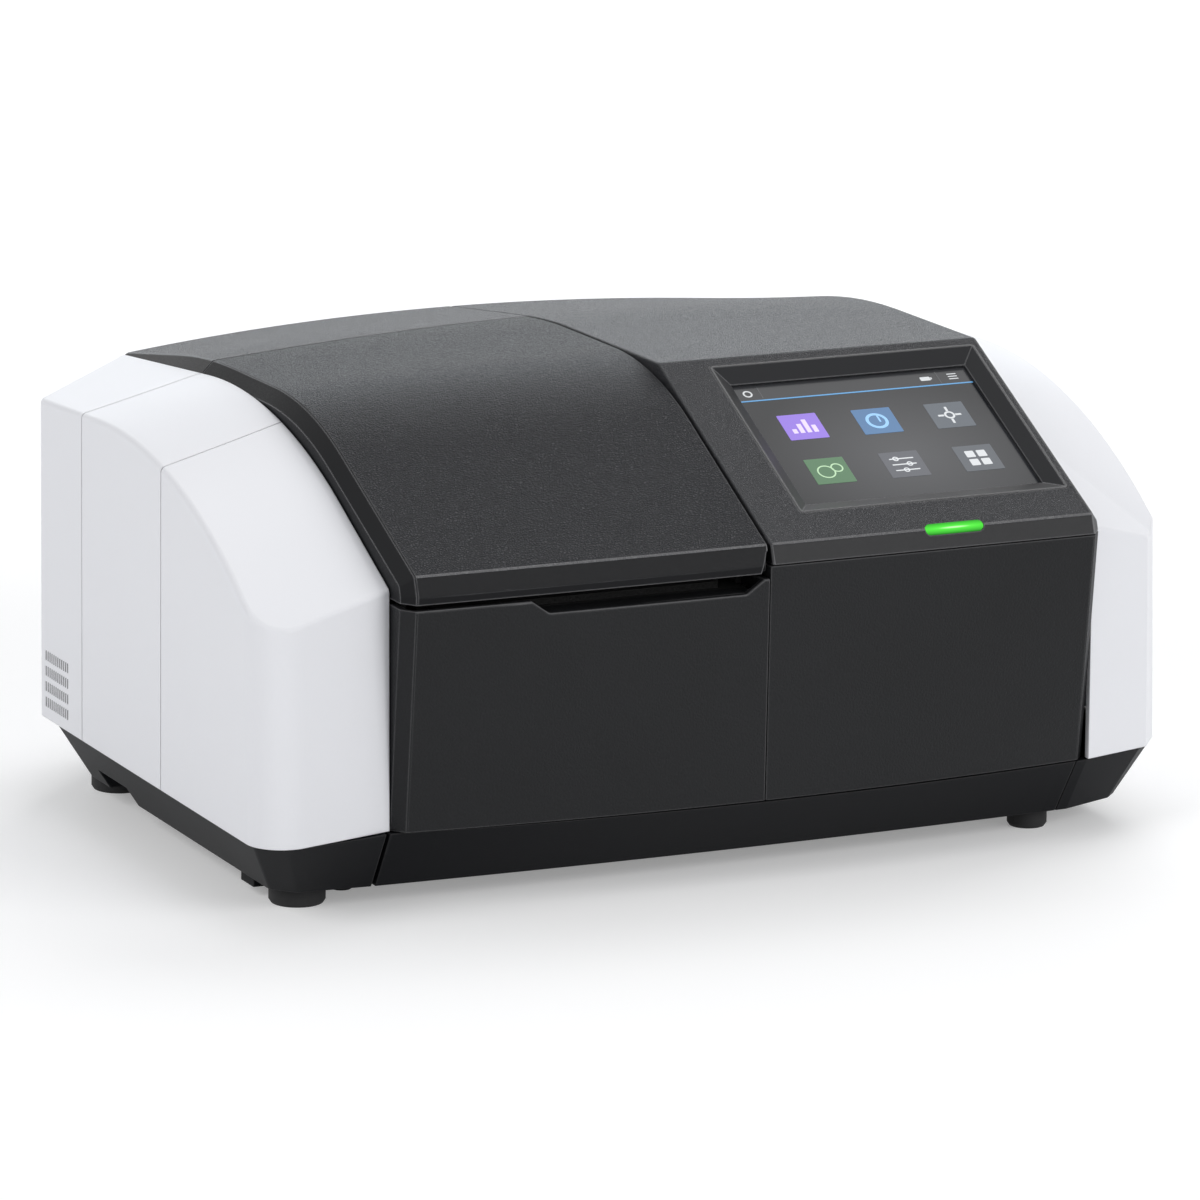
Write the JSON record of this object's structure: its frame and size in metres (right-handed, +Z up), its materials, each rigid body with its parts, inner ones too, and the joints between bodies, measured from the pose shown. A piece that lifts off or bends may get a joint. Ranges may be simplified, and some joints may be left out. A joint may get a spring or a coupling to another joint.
{
  "type": "uv-vis spectrophotometer",
  "caption": "Bench-top UV-visible spectrophotometer with a hinged lid over its sample compartment and a sloped touch display.",
  "frame": {"origin": "on the bench surface under the middle of the instrument's overall outline", "axes": "+X to the right as seen from the front, +Y to the rear, +Z up"},
  "size_m": [0.45, 0.35, 0.2095],
  "materials": {
    "satin_white": "satin moulded, light",
    "panel_black": "fine textured",
    "lid_charcoal": "leather-grained",
    "rear_charcoal": "satin",
    "base_charcoal": "satin",
    "foot_rubber": "matte",
    "bezel_black": "semi-gloss",
    "display_glass": "polished, printed from behind",
    "display_frame": "plain",
    "bracket_steel": "zinc plated",
    "light_green": "translucent, lit from behind",
    "board_green": "solder-masked board",
    "bench_aluminium": "milled",
    "optics_black": "black anodised",
    "liner_black": "matte, light-absorbing",
    "window_quartz": "polished",
    "lamp_glass": "clear",
    "mirror_face": "polished",
    "seal_foam": "foam",
    "rear_metal": "powder coated",
    "port_steel": "plated",
    "inlet_black": "moulded",
    "screw_steel": "plated",
    "fan_black": "moulded"
  },
  "bodies": {
    "chassis": {"rear_left_top_cover": "rear_charcoal", "hinge_brackets": "bracket_steel", "hinge_pins": "screw_steel", "sample_front_panel": "panel_black", "control_front_panel": "panel_black", "control_top_cover": "rear_charcoal", "screen_bezel": "bezel_black", "touch_glass": "display_glass", "display_module": "display_frame", "display_bracket": "bracket_steel", "status_light": "light_green", "status_light_board": "board_green", "left_front_cover": "satin_white", "left_middle_cover": "satin_white", "left_rear_cover": "satin_white", "right_side_cover": "satin_white", "base_tray": "base_charcoal", "front_apron": "base_charcoal", "left_feet": "foot_rubber", "right_feet": "foot_rubber", "optical_bench": "bench_aluminium", "compartment_frame": "liner_black", "compartment_tub": "liner_black", "beam_windows": "window_quartz", "holder_plate": "optics_black", "sample_cell_holder": "optics_black", "reference_cell_holder": "optics_black", "light_seal": "seal_foam", "rear_panel": "rear_metal", "data_ports": "port_steel", "power_inlet": "inlet_black", "switch_frame": "inlet_black", "fan_frame": "fan_black", "power_supply": "bracket_steel", "main_board": "board_green", "lamp_house": "bracket_steel", "deuterium_lamp": "lamp_glass", "halogen_lamp": "lamp_glass", "filter_motor": "screw_steel", "slit_plates": "optics_black", "concave_mirrors": "mirror_face", "grating_motor": "screw_steel", "fold_mirrors": "mirror_face", "beam_splitter": "window_quartz", "detectors": "optics_black", "rear_screws": "screw_steel", "bench_screws": "screw_steel"},
    "lid": {"lid_shell": "lid_charcoal", "lid_liner": "liner_black", "lid_hinge_ears": "bracket_steel"},
    "power_rocker": {"power_rocker": "inlet_black"},
    "fan_rotor": {"fan_rotor": "fan_black"},
    "filter_wheel": {"filter_wheel": "optics_black"},
    "lamp_mirror": {"lamp_mirror": "mirror_face"},
    "grating_table": {"grating_table": "mirror_face"}
  },
  "joints": [
    {"name": "lid_hinge", "type": "hinge", "parent": "chassis", "child": "lid", "pos_m": [-0.07325, 0.035, 0.188], "axis": [-1, 0, 0], "range_deg": [0, 70]},
    {"name": "rocker_tip", "type": "hinge", "parent": "chassis", "child": "power_rocker", "pos_m": [0.084, 0.144, 0.09], "axis": [1, 0, 0], "range_deg": [0, 20]},
    {"name": "fan_spin", "type": "hinge", "parent": "chassis", "child": "fan_rotor", "pos_m": [0.132, 0.1348, 0.118], "axis": [0, 1, 0], "continuous": true},
    {"name": "filter_wheel_turn", "type": "hinge", "parent": "chassis", "child": "filter_wheel", "pos_m": [0.082, 0.092, 0.108], "axis": [1, 0, 0], "continuous": true},
    {"name": "lamp_mirror_turn", "type": "hinge", "parent": "chassis", "child": "lamp_mirror", "pos_m": [0.114, 0.092, 0.08], "axis": [0, 0, 1], "range_deg": [0, 35]},
    {"name": "grating_turn", "type": "hinge", "parent": "chassis", "child": "grating_table", "pos_m": [0.004, 0.07, 0.075], "axis": [0, 0, 1], "range_deg": [-20, 30]}
  ]
}
